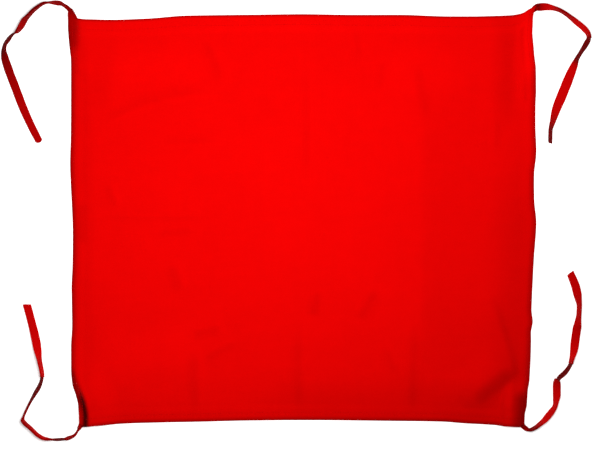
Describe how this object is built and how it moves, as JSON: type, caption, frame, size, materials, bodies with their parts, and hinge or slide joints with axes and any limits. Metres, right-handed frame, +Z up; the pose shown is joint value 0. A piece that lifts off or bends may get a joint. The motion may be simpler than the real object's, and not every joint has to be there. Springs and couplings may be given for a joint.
{
  "type": "patka head cloth",
  "caption": "Square plain red cotton head cloth with turned hems and a narrow flat tie sewn to each corner, lying flat with its ties spread out.",
  "frame": {"origin": "centre of the cloth on the surface that it lies on, at the flat underside", "axes": "+X to the cloth's right along its longer side, +Y up the cloth towards its top hem, +Z up from the surface"},
  "size_m": [0.7118, 0.532, 0.0106],
  "materials": {
    "panel_cotton": "plain woven cotton, soft and matt",
    "hem_cotton": "plain woven cotton, turned and stitched",
    "tie_tape": "folded and stitched cotton tape, matt"
  },
  "bodies": {
    "root": {"panel": "panel_cotton", "hem_top": "hem_cotton", "hem_bottom": "hem_cotton", "hem_left": "hem_cotton", "hem_right": "hem_cotton", "tie_top_left": "tie_tape", "tie_top_right": "tie_tape", "tie_bottom_left": "tie_tape", "tie_bottom_right": "tie_tape"}
  },
  "joints": []
}
